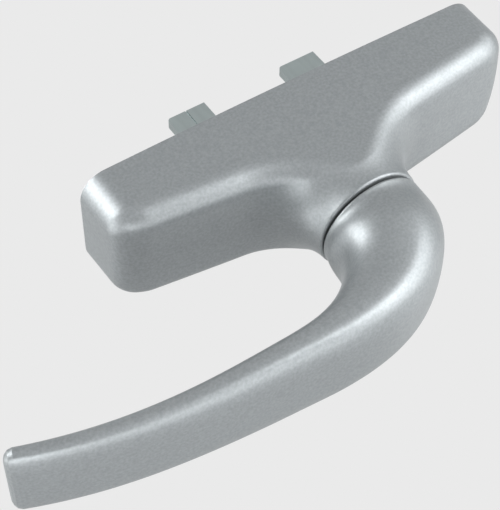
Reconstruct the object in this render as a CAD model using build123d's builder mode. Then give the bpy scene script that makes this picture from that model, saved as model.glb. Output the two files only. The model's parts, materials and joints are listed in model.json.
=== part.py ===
from build123d import *
import math
import os

# A window handle: a long die-cast body with a lever, whose pinion drives a rack and a pair of prongs.
# X runs across the handle, +Y into the window and +Z up along the body, all in millimetres.
# The origin is where the lever's axis meets the mounting plane.
# "Depth" is the distance from that plane towards the room, along -Y.

# Body
body_width = 32.0
body_length = 115.4
side_bow = 0.7
corner_radius = 7.0
side_draft = 1.4
front_depth = 24.8
front_slope = 7.7
front_edge_radius = 5.8
boss_depth = 35.8
boss_radius = 14.1
boss_draft = 5.0
boss_land = 1.3
end_rounding = 12.0
end_overhang = 2.5
lip_radius = 0.7
wall = 2.4
rim = 1.6
ledge = 1.2

# Bearings in the body
tube_wall = 3.2
journal_radius = 9.5
bush_wall = 1.2
bush_gap = 1.8
flange_width = 1.6
flange_thickness = 1.4
flange_stand_out = 0.2
thrust_washer_thickness = 0.5

# Lever
seam_gap = 0.5
neck_radius = 13.9
neck_end_radius = 14.1
bend_start_pull = 15.3
bend_end_pull = 24.2
bend_width = 28.2
bend_front = 12.4
bend_back = 13.2
knuckle_width = 25.5
knuckle_front = 9.5
knuckle_back = 10.4
root_depth = 61.6
root_drop = 36.0
root_width = 24.6
root_front = 5.5
root_back = 4.8
middle_width = 22.3
middle_front = 3.6
middle_back = 4.0
grip_pull = 25.0
tip_depth = 51.2
tip_drop = 105.3
tip_width = 21.6
tip_front = 2.4
tip_back = 3.6
tip_angle = 22.3
round_squareness = 2.0
bend_front_squareness = 2.5
bend_back_squareness = 2.1
knuckle_front_squareness = 3.0
knuckle_back_squareness = 2.3
front_squareness = 3.1
back_squareness = 2.4
neck_end_fraction = 0.18
bend_fraction = 0.25
knuckle_fraction = 0.48
middle_fraction = 0.5
section_points = 24
bend_sections = 7
grip_sections = 7
tip_turns = (0, 30, 55, 75, 86)
washer_groove = 0.9
washer_width = 2.6
wave_washer_thickness = 0.6
seam_edge_radius = 0.5
tip_edge_radius = 2.2
tip_corner_radius = 3.4

# Drive
gear_module = 1.0
pinion_teeth = 16
pressure_angle = 20.0
dedendum = 1.25
rack_addendum = 0.8
flank_points = 5
foot_sink = 0.2
backlash = 0.12
tooth_width = 4.5
hub_radius = 10.5
hub_thickness = 2.7
tang_side = 7.0
tang_length = 4.9
stop_reach = 13.8
stop_width = 4.0
stop_angle = 225.0
lever_travel = 90.0
screw_radius = 2.0
screw_head_radius = 4.0
screw_length = 9.0
screw_socket_radius = 1.4
screw_socket_depth = 1.4

# Slide and prongs
slide_thickness = 2.5
slide_top = 24.0
slide_bottom = -30.5
rack_height = 4.2
rack_back = 2.6
rack_pad_width = 6.5
rack_pad_length = 6.4
rivet_radius = 1.25
rivet_head_radius = 2.2
rivet_head_height = 0.6
prong_width = 11.0
prong_thickness = 2.4
prong_reach = 17.2
upper_prong_height = 15.6
lower_prong_height = -18.1
prong_corner_radius = 1.0
tenon_width = 7.0
score_width = 0.35
score_depth = 0.3

# Back plate and what it holds
plate_thickness = 2.0
plate_corner_radius = 4.0
plate_screw_side_distance = 4.5
plate_screw_end_distance = 8.7
plate_screw_radius = 1.5
plate_screw_head_radius = 2.8
plate_screw_length = 9.0
plate_screw_recess = 3.2
plate_screw_recess_width = 0.8
plate_screw_recess_depth = 0.8
screw_post_radius = 3.0
fixing_end_distance = 13.2
fixing_thread_radius = 2.5
fixing_nut_radius = 4.0
fixing_flange_radius = 5.0
fixing_flange_thickness = 0.8
fixing_nut_length = 6.0
guide_height = 2.4
guide_width = 1.95
guide_peg_radius = 0.6
guide_peg_inset = 5.0
countersink_angle = 45.0

# Clearances
seat_clearance = 0.05
running_clearance = 0.05
sliding_clearance = 0.3

# Worked out from the above
half_width = body_width / 2
half_length = body_length / 2
plate_screw_height = half_length - plate_screw_end_distance
fixing_height = half_length - fixing_end_distance
recess_width = body_width - 2 * (side_bow + rim)
recess_length = body_length - 2 * rim
hollow_width = recess_width - 2 * ledge
hollow_length = recess_length - 2 * ledge
hollow_depth = front_depth - wall
plate_screw_across = hollow_width / 2 - plate_screw_side_distance
bore_radius = journal_radius + running_clearance + bush_wall
tube_radius = bore_radius + tube_wall
flange_radius = bore_radius + flange_width
seam_depth = boss_depth + seam_gap
slide_back_depth = plate_thickness + sliding_clearance
slide_front_depth = slide_back_depth + slide_thickness
pinion_back_depth = slide_front_depth + 2 * sliding_clearance
hub_back_depth = pinion_back_depth + tooth_width
hub_front_depth = hub_back_depth + hub_thickness
tube_end_depth = hub_front_depth + thrust_washer_thickness + sliding_clearance + flange_thickness
outer_bush_seat_depth = boss_depth + flange_stand_out - flange_thickness
bush_length = (outer_bush_seat_depth - tube_end_depth - bush_gap) / 2
stop_inner_radius = flange_radius + sliding_clearance
stop_step = 2 * math.degrees(math.atan(stop_width / 2 / stop_inner_radius))
stop_step += math.degrees(sliding_clearance / stop_inner_radius)
stop_angles = (stop_angle - stop_step, stop_angle + lever_travel + stop_step)
guide_outer = hollow_width / 2 - seat_clearance
guide_inner = guide_outer - guide_width
slide_width = 2 * (guide_inner - sliding_clearance)
pitch_radius = gear_module * pinion_teeth / 2
tooth_pitch = math.pi * gear_module
tooth_root = dedendum * gear_module
rack_tip = rack_addendum * gear_module
rack_travel = pitch_radius * math.radians(lever_travel)

os.makedirs("parts", exist_ok=True)


def at_depth(depth):
    """The plane at this depth, parallel to the mounting plane and facing the room."""
    return Plane.XZ.offset(depth)


def front_depth_at(across, height):
    """Depth of the falling front face, before its edges are rounded."""
    return front_depth - math.hypot(across, height) * math.tan(math.radians(front_slope))


def body_outline():
    """The body's outline in plan: bowed long sides and rounded corners."""
    end = half_width - side_bow
    with BuildSketch() as outline:
        with BuildLine():
            right = ThreePointArc((end, -half_length), (half_width, 0), (end, half_length))
            left = ThreePointArc((-end, half_length), (-half_width, 0), (-end, -half_length))
            Line(right @ 1, left @ 0)
            Line(left @ 1, right @ 0)
        make_face()
        fillet(outline.vertices(), corner_radius)
    return outline.sketch


def front_profile():
    """Half the section through the body's front: the boss, its flare and the falling front face."""
    reach = half_length + end_overhang
    top = (0, -boss_depth)
    lip = (boss_radius, -boss_depth)
    boss_lean = math.tan(math.radians(boss_draft))
    front_fall = math.tan(math.radians(front_slope))
    foot = (boss_radius + (boss_depth - front_depth) * boss_lean) / (1 - boss_lean * front_fall)
    foot_point = (foot, foot * front_fall - front_depth)
    end_point = (reach, reach * front_fall - front_depth)
    # The flare starts a short way below the boss's mouth, which settles its radius
    boss_side = math.dist(lip, foot_point)
    flare_angle = math.radians(90 + boss_draft + front_slope)
    flare_radius = (boss_side - boss_land) * math.tan(flare_angle / 2)
    with BuildSketch() as profile:
        with BuildLine():
            Polyline((0, 0), top, lip, foot_point, end_point, (reach, 0), (0, 0))
        make_face()
        fillet(profile.vertices().sort_by_distance(foot_point)[0], flare_radius)
        fillet(profile.vertices().sort_by_distance(end_point)[0], end_rounding)
    return profile.sketch


# The revolved shapes start in this plane, so their seams cross the middle of an end
revolve_plane = Plane(origin=(0, 0, 0), x_dir=(0, 0, 1), z_dir=(-1, 0, 0))

# Hollow of the body, from the back plate's seat to the inside of the front wall
with BuildPart() as hollow:
    with BuildSketch(Plane.XZ):
        RectangleRounded(hollow_width, hollow_length, plate_corner_radius - ledge)
    extrude(amount=hollow_depth)
    with BuildSketch(revolve_plane):
        with BuildLine():
            inner_end = hollow_depth - body_length * math.tan(math.radians(front_slope))
            Polyline((0, 0), (0, -hollow_depth), (body_length, -inner_end), (body_length, 0), (0, 0))
        make_face()
    revolve(axis=Axis.Y, mode=Mode.INTERSECT)

# Housing: the die-cast body
with BuildPart() as housing:
    with BuildSketch(Plane.XZ):
        add(body_outline())
    extrude(amount=boss_depth, taper=side_draft)
    with BuildSketch(revolve_plane):
        add(front_profile())
    revolve(axis=Axis.Y, mode=Mode.INTERSECT)
    # Round the long front edge, which runs up over the boss, and the boss's lip
    front_edges = housing.edges().filter_by(
        lambda edge: -boss_depth < edge.bounding_box().max.Y < -front_depth / 2
    )
    fillet(front_edges, front_edge_radius)
    fillet(housing.edges().group_by(Axis.Y)[0], lip_radius)
    add(hollow.part, mode=Mode.SUBTRACT)
    # Seat of the back plate
    with BuildSketch(Plane.XZ):
        RectangleRounded(recess_width, recess_length, plate_corner_radius)
    extrude(amount=plate_thickness, mode=Mode.SUBTRACT)
    # Bearing tube inside the hollow, and the two stops on its end that limit the lever's turn
    with BuildSketch(at_depth(tube_end_depth)):
        Circle(tube_radius)
    extrude(amount=hollow_depth - tube_end_depth + wall / 2)
    with BuildSketch(at_depth(hub_back_depth)):
        for angle in stop_angles:
            with PolarLocations((stop_inner_radius + tube_radius) / 2, 1, start_angle=angle):
                Rectangle(tube_radius - stop_inner_radius, stop_width)
    extrude(amount=tube_end_depth - hub_back_depth)
    # Posts for the back plate's screws
    with BuildSketch(at_depth(plate_thickness)):
        with GridLocations(2 * plate_screw_across, 2 * plate_screw_height, 2, 2):
            Circle(screw_post_radius)
    extrude(amount=front_depth_at(plate_screw_across, plate_screw_height) - plate_thickness - wall / 2)
    with BuildSketch(at_depth(plate_thickness)):
        with GridLocations(2 * plate_screw_across, 2 * plate_screw_height, 2, 2):
            Circle(plate_screw_radius + seat_clearance)
    extrude(amount=plate_screw_length, mode=Mode.SUBTRACT)
    # Bore for the two bushes, with a seat for the outer one's flange
    with BuildSketch(at_depth(tube_end_depth)):
        Circle(bore_radius + seat_clearance)
    extrude(amount=boss_depth - tube_end_depth, mode=Mode.SUBTRACT)
    with BuildSketch(at_depth(boss_depth)):
        Circle(flange_radius + seat_clearance)
    extrude(amount=flange_stand_out - flange_thickness, mode=Mode.SUBTRACT)

housing.part.label = "housing"
export_step(housing.part, "parts/housing.step")


# The two plastic bushes that carry the lever's journal, one at each end of the bearing tube
with BuildPart() as outer_bush:
    with BuildSketch(at_depth(boss_depth + flange_stand_out)):
        Circle(flange_radius)
        Circle(journal_radius + running_clearance, mode=Mode.SUBTRACT)
    extrude(amount=-flange_thickness)
    with BuildSketch(at_depth(outer_bush_seat_depth)):
        Circle(bore_radius)
        Circle(journal_radius + running_clearance, mode=Mode.SUBTRACT)
    extrude(amount=-bush_length)

outer_bush.part.label = "outer_bush"
export_step(outer_bush.part, "parts/outer_bush.step")

with BuildPart() as inner_bush:
    with BuildSketch(at_depth(tube_end_depth)):
        Circle(flange_radius)
        Circle(journal_radius + running_clearance, mode=Mode.SUBTRACT)
    extrude(amount=-flange_thickness)
    with BuildSketch(at_depth(tube_end_depth)):
        Circle(bore_radius)
        Circle(journal_radius + running_clearance, mode=Mode.SUBTRACT)
    extrude(amount=bush_length)

inner_bush.part.label = "inner_bush"
export_step(inner_bush.part, "parts/inner_bush.step")


def between(places, values, place):
    """A value between those at the given places, on a smooth curve that doesn't overshoot them."""
    slopes = [(v - u) / (q - p) for p, q, u, v in zip(places, places[1:], values, values[1:])]
    bends = [slopes[0]]
    bends += [2 * s * t / (s + t) if s * t > 0 else 0.0 for s, t in zip(slopes, slopes[1:])]
    bends += [slopes[-1]]
    span = max(i for i in range(len(slopes)) if place >= places[i])
    step = places[span + 1] - places[span]
    u = (place - places[span]) / step
    return (
        (2 * u**3 - 3 * u**2 + 1) * values[span]
        + (u**3 - 2 * u**2 + u) * step * bends[span]
        + (3 * u**2 - 2 * u**3) * values[span + 1]
        + (u**3 - u**2) * step * bends[span + 1]
    )


def lever_section(half, front, back, front_square, back_square):
    """A closed section: round where the squareness is 2, and squarer as it grows."""
    points = []
    for number in range(section_points):
        angle = 2 * math.pi * number / section_points
        rise, square = (front, front_square) if angle <= math.pi else (back, back_square)
        across = half * math.copysign(abs(math.cos(angle)) ** (2 / square), math.cos(angle))
        along = rise * math.copysign(abs(math.sin(angle)) ** (2 / square), math.sin(angle))
        points.append(Vector(across, along))
    with BuildSketch() as section:
        with BuildLine():
            add(Edge.make_spline(points, periodic=True, parameters=range(len(points) + 1)))
        make_face()
    return section.sketch


# Line along the lever: one curve from the seam round the bend to the root of the grip, one on to the tip
tip_lean = math.radians(tip_angle)
with BuildLine() as lever_line:
    bend = Bezier(
        (0, -seam_depth, 0),
        (0, -seam_depth - bend_start_pull, 0),
        (0, -root_depth, -root_drop + bend_end_pull),
        (0, -root_depth, -root_drop),
    )
    grip = Bezier(
        bend @ 1,
        (0, -root_depth, -root_drop - grip_pull),
        (0, -tip_depth - grip_pull * math.sin(tip_lean), -tip_drop + grip_pull * math.cos(tip_lean)),
        (0, -tip_depth, -tip_drop),
    )
# Sizes of the section at the seam, the neck's end, inside the bend, at the knuckle, the root, the middle
# and the tip
places = (0, neck_end_fraction, bend_fraction, knuckle_fraction, 1, 1 + middle_fraction, 2)
widths = (2 * neck_radius, 2 * neck_end_radius, bend_width, knuckle_width)
widths += (root_width, middle_width, tip_width)
fronts = (neck_radius, neck_end_radius, bend_front, knuckle_front)
fronts += (root_front, middle_front, tip_front)
backs = (neck_radius, neck_end_radius, bend_back, knuckle_back)
backs += (root_back, middle_back, tip_back)
front_squares = (round_squareness, round_squareness, bend_front_squareness, knuckle_front_squareness)
front_squares += (front_squareness, front_squareness, front_squareness)
back_squares = (round_squareness, round_squareness, bend_back_squareness, knuckle_back_squareness)
back_squares += (back_squareness, back_squareness, back_squareness)
tip_start = 2 - tip_edge_radius / grip.length


def lever_face(place, set_in=0.0):
    """The lever's section at a place: 0 at the seam, 1 at the root of the grip and 2 at the tip."""
    half = between(places, widths, place) / 2 - set_in * tip_corner_radius
    front = between(places, fronts, place) - set_in * tip_edge_radius
    back = between(places, backs, place) - set_in * tip_edge_radius
    front_square = between(places, front_squares, place)
    back_square = between(places, back_squares, place)
    line, along = (bend, place) if place <= 1 else (grip, place - 1)
    with BuildSketch(Plane(line @ along, x_dir=(1, 0, 0), z_dir=line % along)) as face:
        add(lever_section(half, front, back, front_square, back_square))
    return face.sketch


# Lever: one casting of the neck, the bend and the grip, with its journal and square tang
with BuildPart() as lever:
    for number in range(bend_sections + grip_sections + 1):
        if number < bend_sections:
            add(lever_face(number / bend_sections))
        else:
            grip_step = (tip_start - 1) / grip_sections
            add(lever_face(1 + (number - bend_sections) * grip_step))
    loft()
    # The tip is rounded off
    for turn in tip_turns:
        rise = math.sin(math.radians(turn))
        set_in = 1 - math.cos(math.radians(turn))
        add(lever_face(tip_start + (2 - tip_start) * rise, set_in))
    loft(ruled=True)
    fillet(lever.faces().sort_by(Axis.Y)[-1].edges(), seam_edge_radius)
    # Groove for the wave washer
    with BuildSketch(at_depth(seam_depth)):
        Circle(journal_radius + washer_width + sliding_clearance)
    extrude(amount=washer_groove, mode=Mode.SUBTRACT)
    with BuildSketch(at_depth(hub_front_depth)):
        Circle(journal_radius)
    extrude(amount=seam_depth + washer_groove - hub_front_depth)
    with BuildSketch(at_depth(hub_front_depth)):
        Rectangle(tang_side, tang_side)
    extrude(amount=-tang_length)
    with BuildSketch(at_depth(hub_front_depth - tang_length)):
        Circle(screw_radius + seat_clearance)
    extrude(amount=screw_length, mode=Mode.SUBTRACT)

lever.part.label = "lever"
export_step(lever.part, "parts/lever.step")

# Wave washer that takes up the play under the lever's shoulder
with BuildPart() as wave_washer:
    with BuildSketch(at_depth(seam_depth + washer_groove)):
        Circle(journal_radius + washer_width)
        Circle(journal_radius + sliding_clearance, mode=Mode.SUBTRACT)
    extrude(amount=-wave_washer_thickness)

wave_washer.part.label = "wave_washer"
export_step(wave_washer.part, "parts/wave_washer.step")

# Thrust washer between the pinion's hub and the inner bush
with BuildPart() as thrust_washer:
    with BuildSketch(at_depth(hub_front_depth)):
        Circle(flange_radius)
        Circle(journal_radius + seat_clearance, mode=Mode.SUBTRACT)
    extrude(amount=thrust_washer_thickness)

thrust_washer.part.label = "thrust_washer"
export_step(thrust_washer.part, "parts/thrust_washer.step")


def gear_tooth():
    """One pinion tooth on +X: involute flanks above the base circle and straight ones below it."""
    base_radius = pitch_radius * math.cos(math.radians(pressure_angle))
    tip_radius = pitch_radius + gear_module
    root_radius = pitch_radius - tooth_root
    pitch_roll = math.tan(math.radians(pressure_angle))
    half_angle = (tooth_pitch / 2 - backlash) / 2 / pitch_radius + pitch_roll - math.atan(pitch_roll)
    flank = []
    for number in range(flank_points):
        radius = base_radius + (tip_radius - base_radius) * number / (flank_points - 1)
        roll = math.sqrt((radius / base_radius) ** 2 - 1)
        angle = half_angle - (roll - math.atan(roll))
        flank.append((radius * math.cos(angle), radius * math.sin(angle)))
    foot_radius = root_radius - foot_sink
    flank.insert(0, (foot_radius * math.cos(half_angle), foot_radius * math.sin(half_angle)))
    with BuildSketch() as tooth:
        with BuildLine():
            Polyline(*flank, *[(x, -y) for x, y in reversed(flank)], close=True)
        make_face()
    return tooth.sketch


# Pinion: teeth, a hub with the stop lug, and a square socket for the lever's tang
with BuildPart() as pinion:
    with BuildSketch(at_depth(pinion_back_depth)):
        Circle(pitch_radius - tooth_root)
        with PolarLocations(0, pinion_teeth):
            add(gear_tooth())
    extrude(amount=tooth_width)
    with BuildSketch(at_depth(hub_back_depth)):
        Circle(hub_radius)
        with PolarLocations(stop_reach / 2, 1, start_angle=stop_angle):
            Rectangle(stop_reach, stop_width)
    extrude(amount=hub_thickness)
    with BuildSketch(at_depth(hub_front_depth)):
        Rectangle(tang_side + 2 * seat_clearance, tang_side + 2 * seat_clearance)
    extrude(amount=-tang_length - seat_clearance, mode=Mode.SUBTRACT)
    with BuildSketch(at_depth(pinion_back_depth)):
        Circle(screw_radius + seat_clearance)
    extrude(amount=tooth_width, mode=Mode.SUBTRACT)
    with BuildSketch(at_depth(pinion_back_depth)):
        Circle(screw_head_radius + seat_clearance)
    extrude(amount=screw_head_radius - screw_radius, taper=countersink_angle, mode=Mode.SUBTRACT)

pinion.part.label = "pinion"
export_step(pinion.part, "parts/pinion.step")

# Countersunk screw that draws the pinion onto the lever
with BuildPart() as lever_screw:
    with BuildSketch(at_depth(pinion_back_depth)):
        Circle(screw_head_radius)
    extrude(amount=screw_head_radius - screw_radius, taper=countersink_angle)
    with BuildSketch(at_depth(pinion_back_depth)):
        Circle(screw_radius)
    extrude(amount=screw_length)
    with BuildSketch(at_depth(pinion_back_depth)):
        RegularPolygon(screw_socket_radius, 6)
    extrude(amount=screw_socket_depth, mode=Mode.SUBTRACT)

lever_screw.part.label = "lever_screw"
export_step(lever_screw.part, "parts/lever_screw.step")

# Slide plate that carries the rack and the prongs
prong_heights = {"upper": upper_prong_height, "lower": lower_prong_height}
rack_outer = pitch_radius + tooth_root + rack_back
rack_inner = rack_outer - rack_back - rack_pad_width
pinion_room = pitch_radius + gear_module + sliding_clearance
rack_pads = {
    "upper": pinion_room + rack_pad_length / 2,
    "lower": -rack_travel - pinion_room - rack_pad_length / 2,
}
rivet_across = rack_inner + rack_pad_width / 2
tenon_hole_across = prong_thickness + 2 * seat_clearance
tenon_hole_length = tenon_width + 2 * seat_clearance
with BuildPart() as slide_plate:
    with BuildSketch(at_depth(slide_back_depth)):
        with Locations((0, (slide_top + slide_bottom) / 2)):
            Rectangle(slide_width, slide_top - slide_bottom)
        for height in prong_heights.values():
            with Locations((0, height)):
                Rectangle(tenon_hole_across, tenon_hole_length, mode=Mode.SUBTRACT)
        for height in rack_pads.values():
            with Locations((rivet_across, height)):
                Circle(rivet_radius + seat_clearance, mode=Mode.SUBTRACT)
    extrude(amount=slide_thickness)

slide_plate.part.label = "slide_plate"
export_step(slide_plate.part, "parts/slide_plate.step")


def rack_tooth():
    """One rack tooth pointing to -X, with straight flanks at the pressure angle."""
    lean = math.tan(math.radians(pressure_angle))
    half_pitch = (tooth_pitch / 2 - backlash) / 2
    tip_half = half_pitch - rack_tip * lean
    root_half = half_pitch + tooth_root * lean
    with BuildSketch() as tooth:
        with BuildLine():
            Polyline(
                (pitch_radius - rack_tip, -tip_half),
                (pitch_radius - rack_tip, tip_half),
                (pitch_radius + tooth_root, root_half),
                (pitch_radius + tooth_root + rack_back / 2, root_half),
                (pitch_radius + tooth_root + rack_back / 2, -root_half),
                (pitch_radius + tooth_root, -root_half),
                close=True,
            )
        make_face()
    return tooth.sketch


# Rack: a toothed bar with a pad at each end for its rivet
rack_top = rack_pads["upper"] + rack_pad_length / 2
rack_bottom = rack_pads["lower"] - rack_pad_length / 2
teeth_above = round(pinion_room / tooth_pitch)
teeth_below = round((rack_travel + pinion_room) / tooth_pitch)
with BuildPart() as rack:
    with BuildSketch(at_depth(slide_front_depth)):
        with Locations((rack_outer - rack_back / 2, (rack_top + rack_bottom) / 2)):
            Rectangle(rack_back, rack_top - rack_bottom)
        for height in rack_pads.values():
            with Locations(((rack_outer + rack_inner) / 2, height)):
                Rectangle(rack_outer - rack_inner, rack_pad_length)
        for number in range(-teeth_below, teeth_above):
            with Locations((0, number * tooth_pitch + tooth_pitch / 2)):
                add(rack_tooth())
        for height in rack_pads.values():
            with Locations((rivet_across, height)):
                Circle(rivet_radius + seat_clearance, mode=Mode.SUBTRACT)
    extrude(amount=rack_height)

rack.part.label = "rack"
export_step(rack.part, "parts/rack.step")

# Rivets that join the rack to the slide plate, flush at the back and headed at the front
for end, height in rack_pads.items():
    with BuildPart() as rack_rivet:
        with BuildSketch(at_depth(slide_back_depth)):
            with Locations((rivet_across, height)):
                Circle(rivet_radius)
        extrude(amount=slide_thickness + rack_height)
        with BuildSketch(at_depth(slide_front_depth + rack_height)):
            with Locations((rivet_across, height)):
                Circle(rivet_head_radius)
        extrude(amount=rivet_head_height)
    rack_rivet.part.label = f"rack_rivet_{end}"
    export_step(rack_rivet.part, f"parts/rack_rivet_{end}.step")

# Prongs: flat plates through the back plate, staked into the slide plate
for end, height in prong_heights.items():
    with BuildPart() as prong:
        with BuildSketch(Plane.YZ.offset(-prong_thickness / 2)):
            with Locations(((prong_reach - slide_back_depth) / 2, height)):
                Rectangle(prong_reach + slide_back_depth, prong_width)
            with Locations((-slide_back_depth - slide_thickness / 2, height)):
                Rectangle(slide_thickness, tenon_width)
        extrude(amount=prong_thickness)
        tip_corners = prong.edges().filter_by(Axis.X).group_by(Axis.Y)[-1]
        fillet(tip_corners.sort_by(Axis.Z)[0], prong_corner_radius)
        if end == "lower":
            with BuildSketch(Plane.YZ.offset(-prong_thickness / 2)):
                with Locations((prong_reach / 2, height)):
                    Rectangle(prong_reach, score_width)
            extrude(amount=score_depth, mode=Mode.SUBTRACT)
    prong.part.label = f"prong_{end}"
    export_step(prong.part, f"parts/prong_{end}.step")

# Back plate: closes the housing, flush with its rim, and lets the prongs through
plate_screw_heights = (-plate_screw_height, plate_screw_height)
screw_places = [(x, z) for x in (-plate_screw_across, plate_screw_across) for z in plate_screw_heights]
fixing_heights = {"upper": fixing_height, "lower": -fixing_height}
guide_top = slide_top + rack_travel + sliding_clearance
guide_bottom = slide_bottom - sliding_clearance
guide_across = {"right": (guide_inner + guide_outer) / 2, "left": -(guide_inner + guide_outer) / 2}
peg_heights = (guide_top - guide_peg_inset, guide_bottom + guide_peg_inset)
plate_width = recess_width - 2 * seat_clearance
plate_length = recess_length - 2 * seat_clearance
slot_width = prong_thickness + 2 * sliding_clearance
slot_length = prong_width + rack_travel + 2 * sliding_clearance
with BuildPart() as back_plate:
    with BuildSketch(Plane.XZ):
        RectangleRounded(plate_width, plate_length, plate_corner_radius - seat_clearance)
        for height in prong_heights.values():
            with Locations((0, height + rack_travel / 2)):
                Rectangle(slot_width, slot_length, mode=Mode.SUBTRACT)
        for height in fixing_heights.values():
            with Locations((0, height)):
                Circle(fixing_nut_radius + seat_clearance, mode=Mode.SUBTRACT)
        for across in guide_across.values():
            for height in peg_heights:
                with Locations((across, height)):
                    Circle(guide_peg_radius + seat_clearance, mode=Mode.SUBTRACT)
        with Locations(*screw_places):
            Circle(plate_screw_radius + seat_clearance, mode=Mode.SUBTRACT)
    extrude(amount=plate_thickness)
    with BuildSketch(Plane.XZ):
        with Locations(*screw_places):
            Circle(plate_screw_head_radius + seat_clearance)
    countersink_depth = plate_screw_head_radius - plate_screw_radius
    extrude(amount=countersink_depth, taper=countersink_angle, mode=Mode.SUBTRACT)

back_plate.part.label = "back_plate"
export_step(back_plate.part, "parts/back_plate.step")

# Countersunk screws of the back plate, with a cross recess
for number, place in enumerate(screw_places, 1):
    with BuildPart() as plate_screw:
        with BuildSketch(Plane.XZ):
            with Locations(place):
                Circle(plate_screw_head_radius)
        extrude(amount=plate_screw_head_radius - plate_screw_radius, taper=countersink_angle)
        with BuildSketch(Plane.XZ):
            with Locations(place):
                Circle(plate_screw_radius)
        extrude(amount=plate_screw_length)
        with BuildSketch(Plane.XZ):
            with Locations(place):
                Rectangle(plate_screw_recess, plate_screw_recess_width)
                Rectangle(plate_screw_recess_width, plate_screw_recess)
        extrude(amount=plate_screw_recess_depth, mode=Mode.SUBTRACT)
    plate_screw.part.label = f"plate_screw_{number}"
    export_step(plate_screw.part, f"parts/plate_screw_{number}.step")

# Threaded nuts pressed into the back plate, for the screws that fix the handle from behind
for end, height in fixing_heights.items():
    with BuildPart() as fixing_nut:
        with BuildSketch(Plane.XZ):
            with Locations((0, height)):
                Circle(fixing_nut_radius)
        extrude(amount=fixing_nut_length)
        with BuildSketch(at_depth(plate_thickness)):
            with Locations((0, height)):
                Circle(fixing_flange_radius)
        extrude(amount=fixing_flange_thickness)
        with BuildSketch(Plane.XZ):
            with Locations((0, height)):
                Circle(fixing_thread_radius)
        extrude(amount=fixing_nut_length, mode=Mode.SUBTRACT)
    fixing_nut.part.label = f"fixing_nut_{end}"
    export_step(fixing_nut.part, f"parts/fixing_nut_{end}.step")

# Plastic guides beside the slide plate, held by pegs in the back plate
for side, across in guide_across.items():
    with BuildPart() as guide:
        with BuildSketch(at_depth(plate_thickness)):
            with Locations((across, (guide_top + guide_bottom) / 2)):
                Rectangle(guide_outer - guide_inner, guide_top - guide_bottom)
        extrude(amount=guide_height)
        with BuildSketch(Plane.XZ):
            for height in peg_heights:
                with Locations((across, height)):
                    Circle(guide_peg_radius)
        extrude(amount=plate_thickness)
    guide.part.label = f"guide_{side}"
    export_step(guide.part, f"parts/guide_{side}.step")
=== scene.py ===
"""A window handle in silver metallic paint, with zinc-plated prongs, under soft studio light.

Lengths are metres. X runs across the handle, +Y into the window and +Z up along the body.
"""

import json

import bpy
from mathutils import Matrix, Vector

# Camera
CAMERA_PLACE = Vector((-0.27265, -0.20529, -0.15322))
CAMERA_AIM = Vector((0.78506, 0.50719, 0.35557))
CAMERA_UP = Vector((-0.61922, 0.65697, 0.43007))
CAMERA_LENS = 105.13
SENSOR_LONG_SIDE = 36.0
CLIP_NEAR = 0.01
CLIP_FAR = 100.0

# Background and floor
BACKGROUND = (0.823, 0.823, 0.823, 1.0)
FILL_LIGHT = 0.15
FLOOR_HEIGHT = -0.75
FLOOR_SIDE = 80.0
FLOOR_PALE_SHARE = 0.9
FLOOR_ROUGHNESS = 0.9

# Lamps: name, direction from the handle, width, height, power
LAMPS = (
    ("key", (-0.32, -0.54, 0.78), 0.54, 0.46, 2.6),
    ("side", (-0.70, -0.52, 0.49), 0.46, 0.40, 2.4),
    ("top", (-0.60, -0.05, 0.80), 0.36, 0.36, 0.4),
    ("right", (0.50, -0.40, 0.77), 0.36, 0.36, 0.3),
    ("front", (-0.06, -0.99, 0.06), 0.44, 0.40, 1.2),
    ("low", (0.02, -0.74, -0.67), 0.36, 0.36, 2.3),
    ("back", (-0.38, 0.62, -0.69), 0.40, 0.40, 3.9),
    ("end", (0.10, 0.12, -0.99), 0.44, 0.44, 1.7),
)
LAMP_AIM = Vector((0.0, -0.03, -0.02))
LAMP_DISTANCE = 0.60

# Materials: linear colours
PAINT_DARK = (0.226, 0.243, 0.251)
PAINT_LIGHT = (0.278, 0.298, 0.307)
PAINT_METALLIC = 0.6
ZINC = (0.34, 0.385, 0.385)
SINTERED_STEEL = (0.22, 0.22, 0.23)
SPRING_STEEL = (0.4, 0.4, 0.41)
PLASTIC_DARK = (0.018, 0.018, 0.02)
PLASTIC_LIGHT = (0.028, 0.028, 0.031)
PLASTIC_ROUGHNESS = 0.5
METAL_TINT_SPREAD = 0.05
METAL_ROUGHNESS_SPREAD = 0.05
# A noise texture's values lie mostly between these
NOISE_LOW = 0.3
NOISE_HIGH = 0.7


def node_tools(owner):
    """Short ways to add nodes to a material or a world, and to link them."""
    tree = owner.node_tree

    def add(kind, **values):
        node = tree.nodes.new(kind)
        for name, value in values.items():
            if hasattr(node, name):
                setattr(node, name, value)
            else:
                node.inputs[name.replace("_", " ")].default_value = value
        return node

    def link(source, target):
        tree.links.new(source, target)

    return add, link


def new_material(name):
    """A node material with its Principled shader."""
    material = bpy.data.materials.new(name)
    material.use_nodes = True
    shader = material.node_tree.nodes["Principled BSDF"]
    return material, shader


def noise_ramp(add, link, coordinates, scale, detail, low=0.0, high=1.0):
    """A noise, as it is and spread between two values."""
    noise = add("ShaderNodeTexNoise", Scale=scale, Detail=detail)
    link(coordinates, noise.inputs["Vector"])
    spread = add(
        "ShaderNodeMapRange", From_Min=NOISE_LOW, From_Max=NOISE_HIGH, To_Min=low, To_Max=high
    )
    link(noise.outputs["Fac"], spread.inputs["Value"])
    return noise.outputs["Fac"], spread.outputs["Result"]


def tint(add, link, shader, factor, dark, light):
    """Base colour that varies between two tones."""
    mix = add("ShaderNodeMix", data_type="RGBA")
    mix.inputs["A"].default_value = (*dark, 1.0)
    mix.inputs["B"].default_value = (*light, 1.0)
    link(factor, mix.inputs["Factor"])
    link(mix.outputs["Result"], shader.inputs["Base Color"])


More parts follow.
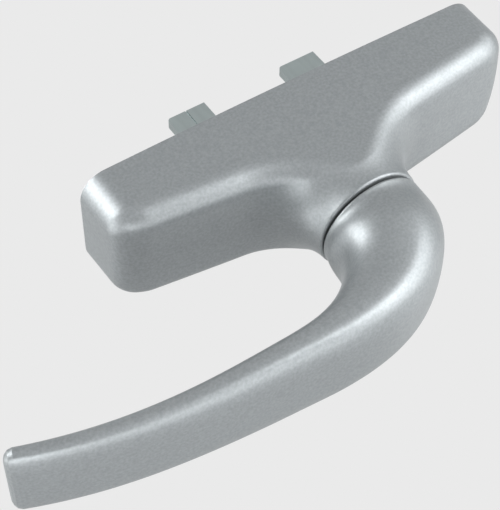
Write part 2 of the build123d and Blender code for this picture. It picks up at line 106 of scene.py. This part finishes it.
def relief(add, link, shader, height, strength, distance):
    """Fine relief that only shading shows."""
    bump = add("ShaderNodeBump", Strength=strength, Distance=distance)
    link(height, bump.inputs["Height"])
    link(bump.outputs["Normal"], shader.inputs["Normal"])


def paint_material():
    """Silver metallic paint on the castings: fine flake grain and slightly uneven gloss."""
    material, shader = new_material("silver_paint")
    add, link = node_tools(material)
    place = add("ShaderNodeTexCoord").outputs["Object"]
    shader.inputs["Metallic"].default_value = PAINT_METALLIC
    grain, shade = noise_ramp(add, link, place, scale=1500.0, detail=2.0)
    tint(add, link, shader, shade, PAINT_DARK, PAINT_LIGHT)
    _, gloss = noise_ramp(add, link, place, scale=220.0, detail=3.0, low=0.41, high=0.46)
    link(gloss, shader.inputs["Roughness"])
    relief(add, link, shader, grain, strength=0.03, distance=0.00005)
    return material


def metal_material(name, colour, roughness, streak_scale=(1.0, 1.0, 1.0)):
    """Plated or bare metal: a fine texture, a slightly uneven tint and uneven gloss."""
    material, shader = new_material(name)
    add, link = node_tools(material)
    place = add("ShaderNodeTexCoord").outputs["Object"]
    shader.inputs["Metallic"].default_value = 1.0
    stretch = add("ShaderNodeMapping", Scale=streak_scale)
    link(place, stretch.inputs["Vector"])
    streaks, shade = noise_ramp(add, link, stretch.outputs["Vector"], scale=600.0, detail=3.0)
    dark = [(1 - METAL_TINT_SPREAD) * c for c in colour]
    light = [(1 + METAL_TINT_SPREAD) * c for c in colour]
    tint(add, link, shader, shade, dark, light)
    smooth, rough = roughness - METAL_ROUGHNESS_SPREAD, roughness + METAL_ROUGHNESS_SPREAD
    _, gloss = noise_ramp(add, link, place, scale=300.0, detail=2.0, low=smooth, high=rough)
    link(gloss, shader.inputs["Roughness"])
    relief(add, link, shader, streaks, strength=0.1, distance=0.00004)
    return material


def plastic_material():
    """Dark bearing plastic with a fine moulded grain."""
    material, shader = new_material("bearing_plastic")
    add, link = node_tools(material)
    place = add("ShaderNodeTexCoord").outputs["Object"]
    shader.inputs["Roughness"].default_value = PLASTIC_ROUGHNESS
    grain, shade = noise_ramp(add, link, place, scale=900.0, detail=2.0)
    tint(add, link, shader, shade, PLASTIC_DARK, PLASTIC_LIGHT)
    relief(add, link, shader, grain, strength=0.15, distance=0.00004)
    return material


def dress_nodes(frame):
    """Every CAD node gets the material of its slot."""
    materials = {
        "silver_cast": paint_material(),
        # Streaks along Y, the way the prongs stand out
        "zinc_plated": metal_material(
            "zinc_plated", ZINC, roughness=0.36, streak_scale=(1.0, 0.15, 1.0)
        ),
        "sintered_steel": metal_material("sintered_steel", SINTERED_STEEL, roughness=0.45),
        "spring_steel": metal_material("spring_steel", SPRING_STEEL, roughness=0.25),
        "bearing_plastic": plastic_material(),
    }
    for part in frame["record"]["subparts"]:
        mesh = frame["nodes"][part["node"]].data
        mesh.materials.clear()
        mesh.materials.append(materials[part["material_slot"]])


def seen_directly(add, link):
    """One for a ray from the camera, a reflection or a view through glass, else zero."""
    path = add("ShaderNodeLightPath")
    seen = add("ShaderNodeMath", operation="MAXIMUM")
    link(path.outputs["Is Camera Ray"], seen.inputs[0])
    link(path.outputs["Is Glossy Ray"], seen.inputs[1])
    shown = add("ShaderNodeMath", operation="MAXIMUM")
    link(seen.outputs[0], shown.inputs[0])
    link(path.outputs["Is Transmission Ray"], shown.inputs[1])
    return shown.outputs[0]


def blend_shaders(add, link, factor, first, second, output):
    """Surface output that goes from the first shader to the second as the factor grows."""
    mix = add("ShaderNodeMixShader")
    link(factor, mix.inputs[0])
    link(first.outputs[0], mix.inputs[1])
    link(second.outputs[0], mix.inputs[2])
    link(mix.outputs[0], output.inputs["Surface"])


def build_floor():
    """A wide pale floor well below the handle, clear of the lamps."""
    half = FLOOR_SIDE / 2
    square = ((-half, -half), (half, -half), (half, half), (-half, half))
    mesh = bpy.data.meshes.new("floor")
    mesh.from_pydata([(x, y, FLOOR_HEIGHT) for x, y in square], [], [(0, 1, 2, 3)])
    floor = bpy.data.objects.new("floor", mesh)
    bpy.context.scene.collection.objects.link(floor)

    material, shader = new_material("floor")
    add, link = node_tools(material)
    shader.inputs["Base Color"].default_value = BACKGROUND
    shader.inputs["Roughness"].default_value = FLOOR_ROUGHNESS
    share = add("ShaderNodeMath", operation="MULTIPLY")
    share.inputs[1].default_value = FLOOR_PALE_SHARE
    link(seen_directly(add, link), share.inputs[0])
    pale = add("ShaderNodeEmission", Color=BACKGROUND)
    output = material.node_tree.nodes["Material Output"]
    blend_shaders(add, link, share.outputs[0], shader, pale, output)
    mesh.materials.append(material)


def build_world():
    """A pale background all round, which lights the handle only a little."""
    world = bpy.data.worlds.new("studio")
    bpy.context.scene.world = world
    world.use_nodes = True
    add, link = node_tools(world)
    fill = add("ShaderNodeBackground", Strength=FILL_LIGHT)
    pale = add("ShaderNodeBackground", Color=BACKGROUND)
    output = world.node_tree.nodes["World Output"]
    blend_shaders(add, link, seen_directly(add, link), fill, pale, output)


def build_lamps():
    """Soft boxes, each facing the handle."""
    for name, direction, width, height, power in LAMPS:
        data = bpy.data.lights.new(name, "AREA")
        data.shape = "RECTANGLE"
        data.size = width
        data.size_y = height
        data.energy = power
        lamp = bpy.data.objects.new(name, data)
        outward = Vector(direction).normalized()
        lamp.location = LAMP_AIM + outward * LAMP_DISTANCE
        lamp.rotation_mode = "QUATERNION"
        lamp.rotation_quaternion = outward.to_track_quat("Z", "Y")
        lamp.visible_camera = False
        bpy.context.scene.collection.objects.link(lamp)


def build_camera():
    """The photograph's viewpoint: from the handle's left, in front and a little below."""
    data = bpy.data.cameras.new("camera")
    data.lens = CAMERA_LENS
    data.sensor_width = SENSOR_LONG_SIDE
    data.clip_start = CLIP_NEAR
    data.clip_end = CLIP_FAR
    camera = bpy.data.objects.new("camera", data)
    back = -CAMERA_AIM.normalized()
    right = CAMERA_UP.cross(back).normalized()
    up = back.cross(right)
    camera.rotation_mode = "QUATERNION"
    camera.rotation_quaternion = Matrix((right, up, back)).transposed().to_quaternion()
    camera.location = CAMERA_PLACE
    bpy.context.scene.collection.objects.link(camera)
    bpy.context.scene.camera = camera


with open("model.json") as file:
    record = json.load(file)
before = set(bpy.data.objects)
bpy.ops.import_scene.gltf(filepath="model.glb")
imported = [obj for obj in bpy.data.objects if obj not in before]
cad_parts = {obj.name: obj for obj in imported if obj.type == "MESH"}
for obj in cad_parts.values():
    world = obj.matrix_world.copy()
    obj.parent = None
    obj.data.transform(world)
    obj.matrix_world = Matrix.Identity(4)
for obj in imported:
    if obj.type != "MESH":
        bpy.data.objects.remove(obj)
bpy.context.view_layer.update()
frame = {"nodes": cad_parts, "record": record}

dress_nodes(frame)
build_floor()
build_world()
build_lamps()
build_camera()
bpy.context.scene.view_settings.view_transform = "Standard"

bpy.context.view_layer.update()
